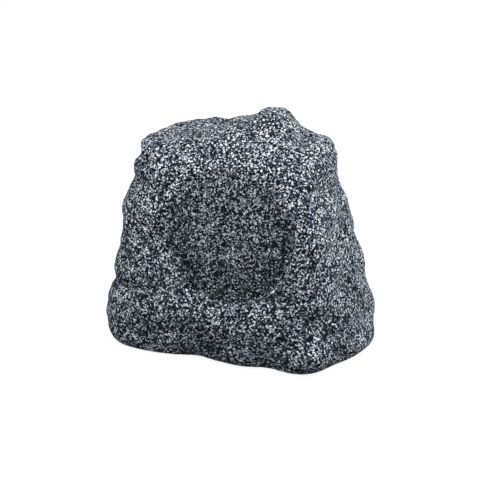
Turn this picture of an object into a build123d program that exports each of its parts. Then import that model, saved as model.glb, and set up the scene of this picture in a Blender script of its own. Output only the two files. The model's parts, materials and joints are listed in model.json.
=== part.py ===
from build123d import *
import math
import os

# Garden loudspeaker moulded as a granite boulder. Millimetres, +Z up, the grille faces -Y.
# The origin lies on the ground under the middle of the stone.

# Stone: the moulded shell
rock_width = 369.0
rock_depth = 298.0
rock_height = 317.0
rock_lift = 1.5
rock_wall = 5.0
crown_wall = 9.5
crown_thickness = 8.0
outline_points = 60
level_step = 20.0
wave_reach = 130.0
lump_reach = 70.0
stone_squareness = 3.2

# Bottom cover, its seal and the ledge inside the shell that it is screwed up to
plate_thickness = 5.0
plate_gap = 0.6
seal_thickness = 1.5
ledge_width = 14.0
ledge_thickness = 8.0
boss_radius = 6.0
boss_height = 8.0
base_screw_count = 6
base_screw_radius = 2.1
base_screw_length = 14.0
base_head_radius = 4.0
base_head_height = 2.4
pilot_slack = 0.05
hole_slack = 0.3
head_gap = 0.3

# Feet
foot_radius = 14.0
foot_recess = 2.0
foot_spacing_x = 220.0
foot_spacing_y = 150.0
foot_screw_radius = 1.9
foot_screw_length = 10.0
foot_head_radius = 3.8
foot_head_height = 2.0
foot_boss_radius = 6.0
foot_boss_height = 8.0

# Cable gland in a pocket low on the back
gland_x = 0.0
gland_height = 50.0
gland_pocket_radius = 24.0
gland_pocket_depth = 27.0
gland_pocket_wall = 5.0
gland_pad_thickness = 6.0
gland_thread_radius = 7.6
gland_thread_length = 10.0
gland_hex = 22.0
gland_flange = 5.0
gland_nut_thickness = 5.0
gland_washer_thickness = 1.5
gland_washer_radius = 12.0
gland_cable_radius = 3.5
gland_seal_radius = 6.1
gland_seal_length = 8.5
gland_seal_seat = 6.0
gland_cap_hex = 20.0
gland_cap_end = 3.5
gland_cap_chamfer = 1.8
gland_tail_length = 3.8
gland_slack = 0.1
hex_sides = 6

# Driver's place in the stone
driver_x = 11.5
driver_height = 179.0
driver_tilt = 11.0
recess_depth = 20.0
recess_flare = 15.0
recess_wall = 6.0
baffle_thickness = 8.0
pocket_gap = 1.5
bore_gap = 3.0

# Grille, its foam ring and its cloth
grille_radius = 89.5
grille_gap = 0.5
grille_rim = 6.0
grille_thickness = 1.2
grille_rise = 7.0
grille_hole_radius = 4.5
grille_hole_pitch = 15.5
grille_hole_rings = 5
grille_hole_step = 6
grille_pad_thickness = 1.5
grille_pad_gap = 0.2
scrim_thickness = 0.6
scrim_gap = 0.1

# Basket: the driver's moulded frame
basket_radius = 82.5
flange_thickness = 3.5
gasket_thickness = 2.0
cuff_seat = 1.0
basket_thickness = 2.0
spider_seat_radius = 48.5
spider_seat_depth = 34.0
cup_radius = 40.0
cup_depth = 46.0
basket_spokes = 6
spoke_width = 12.0
window_margin = 4.0
driver_screw_count = 4
driver_screw_radius = 1.9
driver_screw_length = 11.0
driver_head_radius = 3.2
driver_head_height = 2.2

# Magnet system and voice coil
pole_radius = 12.35
coil_gap = 0.4
former_thickness = 0.25
winding_thickness = 0.35
winding_length = 12.0
former_length = 35.0
former_reach = 25.0
front_plate_thickness = 5.0
front_plate_radius = 40.0
magnet_radius = 45.0
magnet_bore_radius = 20.0
magnet_thickness = 15.0
yoke_thickness = 6.0
yoke_radius = 42.0
glue_gap = 0.1

# Cone, surround and spider
cone_radius = 60.0
cone_lip = 4.0
cone_thickness = 1.2
cone_lip_thickness = 0.9
cone_neck_depth = 27.0
roll_radius = 4.5
surround_thickness = 0.8
surround_cuff = 4.5
spider_thickness = 0.6
spider_waves = 4
spider_wave_height = 0.8
spider_cuff = 4.0
spider_gap = 0.15

# Terminal strip on the basket's cup
strip_width = 26.0
strip_depth = 10.0
strip_thickness = 2.0
strip_pad_width = 20.0
strip_pad_height = 4.0
tab_width = 5.0
tab_thickness = 0.8
tab_length = 7.0
tab_spacing = 14.0

# Tweeter on its post in front of the pole
post_radius = 6.0
post_stud_radius = 4.1
post_bore_radius = 2.0
post_stud_slack = 0.1
post_length = 34.0
post_stud_length = 24.0
tweeter_radius = 17.5
tweeter_depth = 15.0
tweeter_wall = 1.5
tweeter_floor = 2.0
tweeter_magnet_radius = 12.0
tweeter_magnet_thickness = 5.0
tweeter_plate_radius = 10.0
tweeter_plate_thickness = 2.5
tweeter_dome_radius = 11.5
tweeter_dome_rise = 3.6
tweeter_dome_thickness = 0.5
tweeter_ring_radius = 19.0
tweeter_ring_thickness = 2.5

# Crossover board on the bottom cover
board_x = 0.0
board_y = 34.0
board_width = 96.0
board_depth = 62.0
board_thickness = 1.6
standoff_radius = 4.0
standoff_height = 8.0
board_hole_inset = 5.0
board_screw_radius = 1.4
board_screw_length = 7.0
board_head_radius = 2.8
board_head_height = 1.8
bobbin_radius = 15.0
bobbin_core_radius = 6.0
bobbin_bore_radius = 4.0
bobbin_height = 22.0
bobbin_flange = 1.5
inductor_x = -24.0
inductor_y = 6.0
winding_gap = 0.3
capacitor_radius = 6.5
capacitor_length = 26.0
capacitor_edge = 1.1
capacitor_x = 8.0
capacitor_y = 14.0
capacitor_pitch = 16.0
capacitor_clear = 0.1
resistor_length = 22.0
resistor_width = 9.5
resistor_height = 9.0
resistor_x = 8.0
resistor_y = -20.0
block_width = 22.0
block_depth = 11.0
block_height = 13.0
block_x = 34.0
block_y = 14.0
block_way_radius = 2.0
block_way_pitch = 10.0
block_way_height = 4.0
block_screw_radius = 2.0
block_screw_depth = 5.0
block_slot = 0.7

# Leads
lead_radius = 1.5
tweeter_lead_radius = 1.2
lead_clear = 0.2
lead_share = 0.45
tweeter_lead_tail = 30.0

# The stone as drawn: height over its rim, then its reach to the left, right, front and back
drawn_levels = (
    (0, 166, 171, 130, 140),
    (12, 170, 177, 136, 143),
    (30, 172, 178, 138, 144),
    (58, 167, 172, 138, 142),
    (93, 161, 165, 135, 138),
    (128, 155, 157, 131, 133),
    (163, 152, 150, 124, 127),
    (193, 150, 144, 118, 121),
    (214, 147, 138, 112, 116),
    (232, 144, 131, 107, 110),
    (252, 142, 123, 101, 102),
    (270, 135, 112, 88, 90),
    (282, 119, 101, 73, 80),
    (290, 64, 86, 59, 68),
    (298, 17, 72, 46, 57),
    (307, -12, 60, 33, 49),
    (317, -22, 51, 20, 39),
)

# Ridges and hollows: angle (0 right, 90 back), height, spread in angle, spread in height, rise
stone_lumps = (
    (214, 77, 20, 130, 20),  # front left edge
    (222, 3, 17, 34, 10),  # front left toe
    (240, 3, 12, 30, 3),  # foot of that toe
    (258, 2, 8, 24, -5),  # dent beside it
    (281, 2, 12, 26, 6),  # middle toe
    (299, 2, 6, 24, -6),  # dent beside it
    (312, 5, 15, 40, 17),  # front right toe
    (353, 4, 16, 30, 14),  # right heel
    (276, 63, 34, 34, 13),  # lip under the grille
    (280, 252, 30, 28, 2),  # brow over the grille
    (316, 172, 17, 85, 20),  # front right edge
    (338, 162, 12, 80, -6),  # hollow beside it
    (208, 267, 26, 22, 8),  # left shoulder
    (206, 221, 26, 9, -5),  # notch under the shoulder
    (200, 193, 30, 20, 5),  # ledge under the notch
    (218, 89, 24, 14, -6),  # groove across the left edge
    (8, 267, 34, 22, 8),  # right shoulder
    (2, 222, 30, 14, -5),  # notch under it
    (20, 120, 30, 50, 4),  # right flank
    (40, 187, 26, 120, -22),  # back right hollow
    (120, 147, 20, 70, -10),  # back left hollow
    (84, 212, 18, 40, 9),  # back brow
    (100, 60, 24, 30, 5),  # back ledge
)

# Shallow waves all over the stone: lobes round it, turns up it, angle where they start, rise
stone_waves = (
    (9, 3.0, 120, 1.2),
    (13, -2.0, 10, 1.1),
    (11, 4.0, 100, 1.0),
    (15, 1.0, 30, 0.9),
    (7, -4.5, 160, 1.2),
    (12, -5.0, 50, 0.9),
)

# Levels that the stone is lofted through: those drawn, and one halfway up each tall step
drawn_height = drawn_levels[-1][0]
stone_levels = []
for lower, upper in zip(drawn_levels, drawn_levels[1:]):
    stone_levels.append(lower)
    if upper[0] - lower[0] > level_step:
        stone_levels.append([(low + high) / 2 for low, high in zip(lower, upper)])
stone_levels.append(drawn_levels[-1])


def drawn_point(angle, level):
    """A point of the drawn stone at one level, seen from above."""
    height, left, right, front, back = level
    cosine = math.cos(math.radians(angle))
    sine = math.sin(math.radians(angle))
    half_width = (left + right) / 2
    half_depth = (front + back) / 2
    across = abs(cosine / half_width) ** stone_squareness
    along = abs(sine / half_depth) ** stone_squareness
    reach = (across + along) ** (-1 / stone_squareness)
    hold = min(1.0, reach / lump_reach)
    for lump_angle, lump_height, lump_turn, lump_tall, rise in stone_lumps:
        turn = (angle - lump_angle + 180) % 360 - 180
        climb = height - lump_height
        reach += rise * hold * math.exp(-((turn / lump_turn) ** 2) - (climb / lump_tall) ** 2)
    fade = min(1.0, min(half_width, half_depth) / wave_reach) ** 2
    for lobes, turns, start, rise in stone_waves:
        phase = lobes * angle + 360 * turns * height / drawn_height + start
        reach += rise * fade * math.sin(math.radians(phase))
    return Vector((right - left) / 2 + reach * cosine, (back - front) / 2 + reach * sine)


drawn_points = [drawn_point(angle, level) for level in stone_levels for angle in range(360)]
drawn_x = [point.X for point in drawn_points]
drawn_y = [point.Y for point in drawn_points]
drawn_middle = Vector((min(drawn_x) + max(drawn_x)) / 2, (min(drawn_y) + max(drawn_y)) / 2)
stretch_x = rock_width / (max(drawn_x) - min(drawn_x))
stretch_y = rock_depth / (max(drawn_y) - min(drawn_y))


def stone_point(angle, level):
    """A point of the stone's outside at one level, at the stone's real size."""
    point = drawn_point(angle, level) - drawn_middle
    return Vector(point.X * stretch_x, point.Y * stretch_y)


outline_steps = [float(number) for number in range(outline_points + 1)]


def stone_outline(level, inset=0.0):
    """Points round the stone at one level, moved in square to its outline."""
    points = []
    for number in range(outline_points):
        angle = 360 * number / outline_points
        along = stone_point(angle + 1, level) - stone_point(angle - 1, level)
        inward = Vector(-along.Y, along.X).normalized()
        points.append(stone_point(angle, level) + inward * inset)
    return points


def stone_ring(level, inset=0.0):
    """The stone's closed outline at one level, with the same share of curve for each point."""
    return Edge.make_spline(stone_outline(level, inset), periodic=True, parameters=outline_steps)


def level_height(level, tall=rock_height):
    """The height over the ground of one level, in a stone that is so tall."""
    return rock_lift + level[0] * tall / drawn_height


def stone_reach(x, height, first_angle):
    """Where the stone's side lies at a place across it: first angle 180 is its front, 0 its back."""
    sides = []
    for level in stone_levels:
        side = [stone_point(first_angle + step, level) for step in range(181)]
        nearest = min(side, key=lambda point: abs(point.X - x))
        sides.append((level_height(level), nearest.Y))
    for (low, low_y), (high, high_y) in zip(sides, sides[1:]):
        if low <= height <= high:
            return low_y + (high_y - low_y) * (height - low) / (high - low)


def ring(inner, outer, back, front):
    """Corners of a ring's section: two radii and two places along its axis."""
    return (inner, back), (outer, back), (outer, front), (inner, front)


def dome_angle(crown, radius, level):
    """Degrees round a dome from its crown, on the axis, to where it meets a level."""
    return math.degrees(math.acos((level - crown + radius) / radius))


def dome_edge(crown, radius, level):
    """The point where a dome meets a level."""
    return math.sqrt(radius**2 - (level - crown + radius) ** 2), level


def corner_radii(points):
    """Radius of the bend at each inner point of a lead, as large as its two runs allow."""
    radii = []
    for before, here, after in zip(points, points[1:], points[2:]):
        run_in = Vector(here) - Vector(before)
        run_out = Vector(after) - Vector(here)
        half_turn = math.radians(run_in.get_angle(run_out) / 2)
        radii.append(lead_share * min(run_in.length, run_out.length) / math.tan(half_turn))
    return radii


# Heights of the bottom cover and of the ledge over it
plate_top = rock_lift + plate_thickness
ledge_seat = plate_top + seal_thickness
ledge_top = ledge_seat + ledge_thickness
boss_top = ledge_top + boss_height
rim_level = stone_levels[0]
cavity_height = rock_height - crown_thickness
screw_line = stone_outline(rim_level, rock_wall + ledge_width / 2)
screw_step = outline_points // base_screw_count
base_screw_points = screw_line[screw_step // 2 :: screw_step]

# The driver's axis leaves the middle of the baffle, square to it and tilted up
tilt = math.radians(driver_tilt)
facing = Vector(0, -math.cos(tilt), math.sin(tilt))
stone_face = Vector(driver_x, stone_reach(driver_x, driver_height, 180), driver_height)
baffle_centre = stone_face - facing * recess_depth
driver_plane = Plane(origin=baffle_centre, x_dir=(1, 0, 0), z_dir=facing)
driver_section = Plane(origin=baffle_centre, x_dir=(1, 0, 0), z_dir=driver_plane.y_dir * -1)
driver_axis = Axis(baffle_centre, facing)

# Places along the driver's axis, from the front of the baffle
flange_front = gasket_thickness + flange_thickness
cuff_level = flange_front - cuff_seat
grille_seat = flange_front + driver_head_height + head_gap
grille_back = grille_seat + grille_pad_thickness
grille_front = grille_back + grille_thickness
cup_floor = -cup_depth
magnet_front = cup_floor - basket_thickness
plate_back = magnet_front - front_plate_thickness
magnet_back = plate_back - magnet_thickness
yoke_back = magnet_back - yoke_thickness

# Radii about the driver's axis
roll_centre = cone_radius + roll_radius
flange_bore = roll_centre + roll_radius
cuff_radius = flange_bore + surround_cuff
driver_bore = flange_bore + basket_thickness + bore_gap
bolt_radius = (cuff_radius + basket_radius) / 2
pocket_radius = basket_radius + pocket_gap
recess_radius = grille_radius + grille_gap
former_inner = pole_radius + coil_gap
former_outer = former_inner + former_thickness
winding_outer = former_outer + glue_gap + winding_thickness
plate_bore = winding_outer + coil_gap

# The gland's axis runs straight out of the back of the stone
gland_pad = stone_reach(gland_x, gland_height, 0) - gland_pocket_depth
gland_centre = Vector(gland_x, gland_pad, gland_height)
gland_plane = Plane(origin=gland_centre, x_dir=(1, 0, 0), z_dir=(0, 1, 0))
gland_section = Plane(origin=gland_centre, x_dir=(1, 0, 0), z_dir=(0, 0, 1))
gland_axis = Axis(gland_centre, (0, 1, 0))

os.makedirs("parts", exist_ok=True)

# Room inside the stone, less the cups that stand into it behind the baffle and round the gland.
# The wall round it thickens from the rim to the crown.
cavity_sections = [(ledge_top, stone_levels[1], rock_wall)]
for level in stone_levels[2:-1]:
    wall = rock_wall + (crown_wall - rock_wall) * level[0] / drawn_height
    cavity_sections.append((level_height(level, cavity_height), level, wall))

with BuildPart() as stone_cavity:
    for height, level, wall in cavity_sections:
        with BuildSketch(Plane.XY.offset(height)):
            with BuildLine():
                add(stone_ring(level, wall))
            make_face()
    loft()
    with BuildSketch(driver_plane.offset(-baffle_thickness)):
        Circle(recess_radius + recess_wall)
    extrude(amount=rock_depth, mode=Mode.SUBTRACT)
    with BuildSketch(gland_plane.offset(-gland_pad_thickness)):
        Circle(gland_pocket_radius + gland_pocket_wall)
    extrude(amount=rock_depth, mode=Mode.SUBTRACT)

# Stone: outside, less its room, with a mouth and a ledge below, and the seats of driver and gland
with BuildPart() as rock_shell:
    for level in stone_levels:
        with BuildSketch(Plane.XY.offset(level_height(level))):
            with BuildLine():
                add(stone_ring(level))
            make_face()
    loft()
    add(stone_cavity.part, mode=Mode.SUBTRACT)
    for low, high, inset in (
        (rock_lift, ledge_seat, rock_wall),
        (ledge_seat, ledge_top, rock_wall + ledge_width),
    ):
        with BuildSketch(Plane.XY.offset(low)):
            with BuildLine():
                add(stone_ring(rim_level, inset))
            make_face()
        extrude(amount=high - low, mode=Mode.SUBTRACT)
    with BuildSketch(Plane.XY.offset(ledge_top)):
        with Locations(*base_screw_points):
            Circle(boss_radius)
    extrude(amount=boss_height)
    with BuildSketch(Plane.XY.offset(ledge_seat)):
        with Locations(*base_screw_points):
            Circle(base_screw_radius + pilot_slack)
    extrude(amount=boss_top - ledge_seat - base_screw_radius, mode=Mode.SUBTRACT)
    with BuildSketch(driver_section):
        with BuildLine():
            flare = TangentArc(
                (recess_radius, grille_front),
                (recess_radius + recess_flare, grille_front + recess_flare),
                tangent=(0, 1),
            )
            Polyline(
                flare @ 1,
                (recess_radius + recess_flare, rock_depth / 2),
                (0, rock_depth / 2),
                (0, -baffle_thickness),
                (driver_bore, -baffle_thickness),
                (driver_bore, 0),
                (pocket_radius, 0),
                (pocket_radius, grille_seat),
                (recess_radius, grille_seat),
                flare @ 0,
            )
        make_face()
    revolve(axis=driver_axis, mode=Mode.SUBTRACT)
    with BuildSketch(driver_plane):
        with PolarLocations(bolt_radius, driver_screw_count, start_angle=180 / driver_screw_count):
            Circle(driver_screw_radius + pilot_slack)
    extrude(amount=-(baffle_thickness - driver_screw_radius / 2), mode=Mode.SUBTRACT)
    with BuildSketch(gland_plane):
        Circle(gland_pocket_radius)
    extrude(amount=rock_depth, mode=Mode.SUBTRACT)
    with BuildSketch(gland_plane):
        Circle(gland_thread_radius + hole_slack)
    extrude(amount=-gland_pad_thickness, mode=Mode.SUBTRACT)
rock_shell.part.label = "rock_shell"
export_step(rock_shell.part, "parts/rock_shell.step")

# Bottom cover: fits the stone's mouth, with recesses for its feet and posts for the board
plate_inset = rock_wall + plate_gap
board_holes_x = board_width - 2 * board_hole_inset
board_holes_y = board_depth - 2 * board_hole_inset

with BuildPart() as base_plate:
    with BuildSketch(Plane.XY.offset(rock_lift)):
        with BuildLine():
            add(stone_ring(rim_level, plate_inset))
        make_face()
    extrude(amount=plate_thickness)
    with BuildSketch(Plane.XY.offset(plate_top)):
        with GridLocations(foot_spacing_x, foot_spacing_y, 2, 2):
            Circle(foot_boss_radius)
    extrude(amount=foot_boss_height)
    with BuildSketch(Plane.XY.offset(plate_top)):
        with Locations((board_x, board_y)):
            with GridLocations(board_holes_x, board_holes_y, 2, 2):
                Circle(standoff_radius)
    extrude(amount=standoff_height)
    with BuildSketch(Plane.XY.offset(rock_lift)):
        with GridLocations(foot_spacing_x, foot_spacing_y, 2, 2):
            Circle(foot_radius + hole_slack)
    extrude(amount=foot_recess, mode=Mode.SUBTRACT)
    with BuildSketch(Plane.XY.offset(rock_lift)):
        with GridLocations(foot_spacing_x, foot_spacing_y, 2, 2):
            Circle(foot_screw_radius + pilot_slack)
    extrude(amount=plate_thickness + foot_boss_height - foot_screw_radius, mode=Mode.SUBTRACT)
    with BuildSketch(Plane.XY.offset(plate_top + standoff_height)):
        with Locations((board_x, board_y)):
            with GridLocations(board_holes_x, board_holes_y, 2, 2):
                Circle(board_screw_radius + pilot_slack)
    extrude(amount=-board_screw_length, mode=Mode.SUBTRACT)
    with BuildSketch(Plane.XY.offset(rock_lift)):
        with Locations(*base_screw_points):
            Circle(base_screw_radius + hole_slack)
    extrude(amount=plate_thickness, mode=Mode.SUBTRACT)
    with BuildSketch(Plane.XY.offset(rock_lift)):
        with Locations(*base_screw_points):
            Circle(base_head_radius + hole_slack)
    extrude(amount=base_head_height + head_gap, mode=Mode.SUBTRACT)
base_plate.part.label = "base_plate"
export_step(base_plate.part, "parts/base_plate.step")

# Foam seal squeezed between the cover and the ledge
with BuildPart() as base_seal:
    with BuildSketch(Plane.XY.offset(plate_top)):
        with BuildLine():
            add(stone_ring(rim_level, plate_inset))
        make_face()
        with BuildLine():
            add(stone_ring(rim_level, rock_wall + ledge_width))
        make_face(mode=Mode.SUBTRACT)
        with Locations(*base_screw_points):
            Circle(base_screw_radius + hole_slack, mode=Mode.SUBTRACT)
    extrude(amount=seal_thickness)
base_seal.part.label = "base_seal"
export_step(base_seal.part, "parts/base_seal.step")

# Screws up through the cover, heads sunk in its underside
base_head_top = rock_lift + base_head_height + head_gap
with BuildPart() as base_screws:
    with BuildSketch(Plane.XY.offset(base_head_top)):
        with Locations(*base_screw_points):
            Circle(base_head_radius)
    extrude(amount=-base_head_height)
    with BuildSketch(Plane.XY.offset(base_head_top)):
        with Locations(*base_screw_points):
            Circle(base_screw_radius)
    extrude(amount=base_screw_length)
base_screws.part.label = "base_screws"
export_step(base_screws.part, "parts/base_screws.step")

# Rubber feet let into the cover
foot_height = rock_lift + foot_recess
foot_sink = foot_head_height + head_gap
with BuildPart() as rubber_feet:
    with BuildSketch():
        with GridLocations(foot_spacing_x, foot_spacing_y, 2, 2):
            Circle(foot_radius)
            Circle(foot_screw_radius + hole_slack, mode=Mode.SUBTRACT)
    extrude(amount=foot_height)
    with BuildSketch():
        with GridLocations(foot_spacing_x, foot_spacing_y, 2, 2):
            Circle(foot_head_radius + hole_slack)
    extrude(amount=foot_sink, mode=Mode.SUBTRACT)
rubber_feet.part.label = "rubber_feet"
export_step(rubber_feet.part, "parts/rubber_feet.step")

with BuildPart() as foot_screws:
    with BuildSketch(Plane.XY.offset(foot_sink)):
        with GridLocations(foot_spacing_x, foot_spacing_y, 2, 2):
            Circle(foot_head_radius)
    extrude(amount=-foot_head_height)
    with BuildSketch(Plane.XY.offset(foot_sink)):
        with GridLocations(foot_spacing_x, foot_spacing_y, 2, 2):
            Circle(foot_screw_radius)
    extrude(amount=foot_screw_length)
foot_screws.part.label = "foot_screws"
export_step(foot_screws.part, "parts/foot_screws.step")

# Cable gland: places along its axis, from the outer face of its pad
gland_flange_front = gland_washer_thickness + gland_flange
gland_front = gland_flange_front + gland_thread_length
gland_seal_back = gland_front - gland_seal_seat
gland_seal_front = gland_seal_back + gland_seal_length
gland_tail = -gland_pad_thickness - gland_nut_thickness - gland_tail_length

with BuildPart() as gland_washer:
    with BuildSketch(gland_section):
        Polygon(
            *ring(gland_thread_radius + gland_slack, gland_washer_radius, 0, gland_washer_thickness),
            align=None,
        )
    revolve(axis=gland_axis)
gland_washer.part.label = "gland_washer"
export_step(gland_washer.part, "parts/gland_washer.step")

with BuildPart() as gland_body:
    with BuildSketch(gland_section):
        Polygon(*ring(gland_cable_radius, gland_thread_radius, gland_tail, gland_front), align=None)
    revolve(axis=gland_axis)
    with BuildSketch(gland_plane.offset(gland_washer_thickness)):
        RegularPolygon(gland_hex / 2, hex_sides, major_radius=False)
        Circle(gland_thread_radius, mode=Mode.SUBTRACT)
    extrude(amount=gland_flange)
    with BuildSketch(gland_plane.offset(gland_seal_back)):
        Circle(gland_seal_radius + gland_slack)
    extrude(amount=gland_seal_seat, mode=Mode.SUBTRACT)
gland_body.part.label = "gland_body"
export_step(gland_body.part, "parts/gland_body.step")

with BuildPart() as gland_locknut:
    with BuildSketch(gland_plane.offset(-gland_pad_thickness)):
        RegularPolygon(gland_hex / 2, hex_sides, major_radius=False)
        Circle(gland_thread_radius + gland_slack, mode=Mode.SUBTRACT)
    extrude(amount=-gland_nut_thickness)
gland_locknut.part.label = "gland_locknut"
export_step(gland_locknut.part, "parts/gland_locknut.step")

with BuildPart() as gland_seal:
    with BuildSketch(gland_section):
        Polygon(*ring(gland_cable_radius, gland_seal_radius, gland_seal_back, gland_seal_front), align=None)
    revolve(axis=gland_axis)
gland_seal.part.label = "gland_seal"
export_step(gland_seal.part, "parts/gland_seal.step")

with BuildPart() as gland_cap_nut:
    with BuildSketch(gland_plane.offset(gland_flange_front + head_gap)):
        RegularPolygon(gland_cap_hex / 2, hex_sides, major_radius=False)
    extrude(amount=gland_seal_front + gland_cap_end - gland_flange_front - head_gap)
    chamfer(gland_cap_nut.faces().sort_by(Axis.Y)[-1].edges(), gland_cap_chamfer)
    with BuildSketch(gland_plane.offset(gland_flange_front)):
        Circle(gland_thread_radius + gland_slack)
    extrude(amount=gland_seal_front - gland_flange_front, mode=Mode.SUBTRACT)
    with BuildSketch(gland_plane.offset(gland_seal_front)):
        Circle(gland_cable_radius)
    extrude(amount=gland_cap_end, mode=Mode.SUBTRACT)
gland_cap_nut.part.label = "gland_cap_nut"
export_step(gland_cap_nut.part, "parts/gland_cap_nut.step")

# Grille: a shallow perforated steel dome with a flat rim
dome_reach = grille_radius - grille_rim
dome_radius = (dome_reach**2 + grille_rise**2) / (2 * grille_rise)
grille_crown = grille_front + grille_rise
dome_inside = dome_radius - grille_thickness
grille_inner_crown = grille_crown - grille_thickness
dome_origin = (0, grille_crown - dome_radius)
dome_front_angle = dome_angle(grille_crown, dome_radius, grille_front)
dome_back_angle = dome_angle(grille_inner_crown, dome_inside, grille_back)

# Each hole is square to the dome: its axis runs out from the dome's centre
dome_centre = baffle_centre + facing * (grille_crown - dome_radius)
grille_hole_planes = []
for ring_number in range(grille_hole_rings + 1):
    ring_angle = ring_number * grille_hole_pitch / dome_radius
    hole_count = max(1, grille_hole_step * ring_number)
    for hole_number in range(hole_count):
        turn = 2 * math.pi * hole_number / hole_count
        outward = driver_plane.x_dir * math.cos(turn) + driver_plane.y_dir * math.sin(turn)
        direction = facing * math.cos(ring_angle) + outward * math.sin(ring_angle)
        grille_hole_planes.append(Plane(origin=dome_centre + direction * dome_radius, z_dir=direction))

with BuildPart() as grille:
    with BuildSketch(driver_section):
        with BuildLine():
            CenterArc(dome_origin, dome_radius, 90 - dome_front_angle, dome_front_angle)
            Polyline(
                dome_edge(grille_crown, dome_radius, grille_front),
                (grille_radius, grille_front),
                (grille_radius, grille_back),
                dome_edge(grille_inner_crown, dome_inside, grille_back),
            )
            CenterArc(dome_origin, dome_inside, 90 - dome_back_angle, dome_back_angle)
            Line((0, grille_inner_crown), (0, grille_crown))
        make_face()
    revolve(axis=driver_axis)
    with Locations(*grille_hole_planes):
        Cylinder(grille_hole_radius, 2 * grille_rise, mode=Mode.SUBTRACT)
grille.part.label = "grille"
export_step(grille.part, "parts/grille.step")

# Cloth behind the grille
scrim_crown = grille_inner_crown - scrim_gap
scrim_radius = dome_inside - scrim_gap
scrim_back_crown = scrim_crown - scrim_thickness
scrim_inside = scrim_radius - scrim_thickness
scrim_front_angle = dome_angle(scrim_crown, scrim_radius, grille_back)
scrim_back_angle = dome_angle(scrim_back_crown, scrim_inside, grille_back)

with BuildPart() as grille_scrim:
    with BuildSketch(driver_section):
        with BuildLine():
            CenterArc(dome_origin, scrim_radius, 90 - scrim_front_angle, scrim_front_angle)
            Line(
                dome_edge(scrim_crown, scrim_radius, grille_back),
                dome_edge(scrim_back_crown, scrim_inside, grille_back),
            )
            CenterArc(dome_origin, scrim_inside, 90 - scrim_back_angle, scrim_back_angle)
            Line((0, scrim_back_crown), (0, scrim_crown))
        make_face()
    revolve(axis=driver_axis)
grille_scrim.part.label = "grille_scrim"
export_step(grille_scrim.part, "parts/grille_scrim.step")

# Foam ring that the grille is bonded on
with BuildPart() as grille_seal:
    with BuildSketch(driver_section):
        Polygon(*ring(pocket_radius + grille_pad_gap, grille_radius, grille_seat, grille_back), align=None)
    revolve(axis=driver_axis)
grille_seal.part.label = "grille_seal"
export_step(grille_seal.part, "parts/grille_seal.step")

# Gasket under the driver's flange
with BuildPart() as driver_gasket:
    with BuildSketch(driver_plane):
        Circle(basket_radius)
        Circle(driver_bore, mode=Mode.SUBTRACT)
        with PolarLocations(bolt_radius, driver_screw_count, start_angle=180 / driver_screw_count):
            Circle(driver_screw_radius + hole_slack, mode=Mode.SUBTRACT)
    extrude(amount=gasket_thickness)
driver_gasket.part.label = "driver_gasket"
export_step(driver_gasket.part, "parts/driver_gasket.step")

# Basket: flange, open cone of spokes, seat of the spider, and a cup that carries the magnet
spider_seat = -spider_seat_depth
cup_outer = cup_radius + basket_thickness
seat_outer = spider_seat_radius + basket_thickness
seat_wall_top = spider_seat + 2 * basket_thickness
window_back = seat_wall_top + window_margin
window_front = gasket_thickness - window_margin
strip_level = cup_floor + basket_thickness
strip_seat = cup_outer + strip_pad_height

with BuildPart() as basket_windows:
    with BuildSketch(driver_section):
        Polygon(*ring(cup_radius, basket_radius, window_back, window_front), align=None)
    revolve(axis=driver_axis)
    with BuildSketch(driver_plane.offset(gasket_thickness)):
        with PolarLocations(0, basket_spokes // 2, start_angle=90):
            Rectangle(2 * basket_radius + spoke_width, spoke_width)
    extrude(amount=-cup_depth, mode=Mode.SUBTRACT)

with BuildPart() as basket:
    with BuildSketch(driver_section):
        Polygon(
            (basket_radius, gasket_thickness),
            (basket_radius, flange_front),
            (cuff_radius + head_gap, flange_front),
            (cuff_radius + head_gap, cuff_level),
            (flange_bore, cuff_level),
            (flange_bore, gasket_thickness),
            (spider_seat_radius, seat_wall_top),
            (spider_seat_radius, spider_seat),
            (cup_radius, spider_seat),
            (cup_radius, cup_floor),
            (plate_bore + coil_gap, cup_floor),
            (plate_bore + coil_gap, magnet_front),
            (cup_outer, magnet_front),
            (cup_outer, spider_seat - basket_thickness),
            (seat_outer, spider_seat - basket_thickness),
            (seat_outer, seat_wall_top),
            (flange_bore + basket_thickness, gasket_thickness),
            align=None,
        )
    revolve(axis=driver_axis)
    add(basket_windows.part, mode=Mode.SUBTRACT)
    with BuildSketch(driver_plane.offset(strip_level - basket_thickness)):
        with Locations((0, -cup_outer)):
            Rectangle(strip_pad_width, strip_pad_height, align=(Align.CENTER, Align.MAX))
        with Locations((0, -cup_outer)):
            Rectangle(strip_pad_width, basket_thickness, align=(Align.CENTER, Align.MIN))
        Circle(cup_radius, mode=Mode.SUBTRACT)
    extrude(amount=strip_depth)
    with BuildSketch(driver_plane.offset(flange_front)):
        with PolarLocations(bolt_radius, driver_screw_count, start_angle=180 / driver_screw_count):
            Circle(driver_screw_radius + hole_slack)
    extrude(amount=-flange_thickness, mode=Mode.SUBTRACT)
basket.part.label = "basket"
export_step(basket.part, "parts/basket.step")

# Screws through the flange into the baffle
with BuildPart() as driver_screws:
    with BuildSketch(driver_plane.offset(flange_front)):
        with PolarLocations(bolt_radius, driver_screw_count, start_angle=180 / driver_screw_count):
            Circle(driver_head_radius)
    extrude(amount=driver_head_height)
    with BuildSketch(driver_plane.offset(flange_front)):
        with PolarLocations(bolt_radius, driver_screw_count, start_angle=180 / driver_screw_count):
            Circle(driver_screw_radius)
    extrude(amount=-driver_screw_length)
driver_screws.part.label = "driver_screws"
export_step(driver_screws.part, "parts/driver_screws.step")

# Magnet system: steel front plate, ferrite ring, and a yoke with the pole
with BuildPart() as front_plate:
    with BuildSketch(driver_section):
        Polygon(*ring(plate_bore, front_plate_radius, plate_back, magnet_front), align=None)
    revolve(axis=driver_axis)
front_plate.part.label = "front_plate"
export_step(front_plate.part, "parts/front_plate.step")

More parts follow.
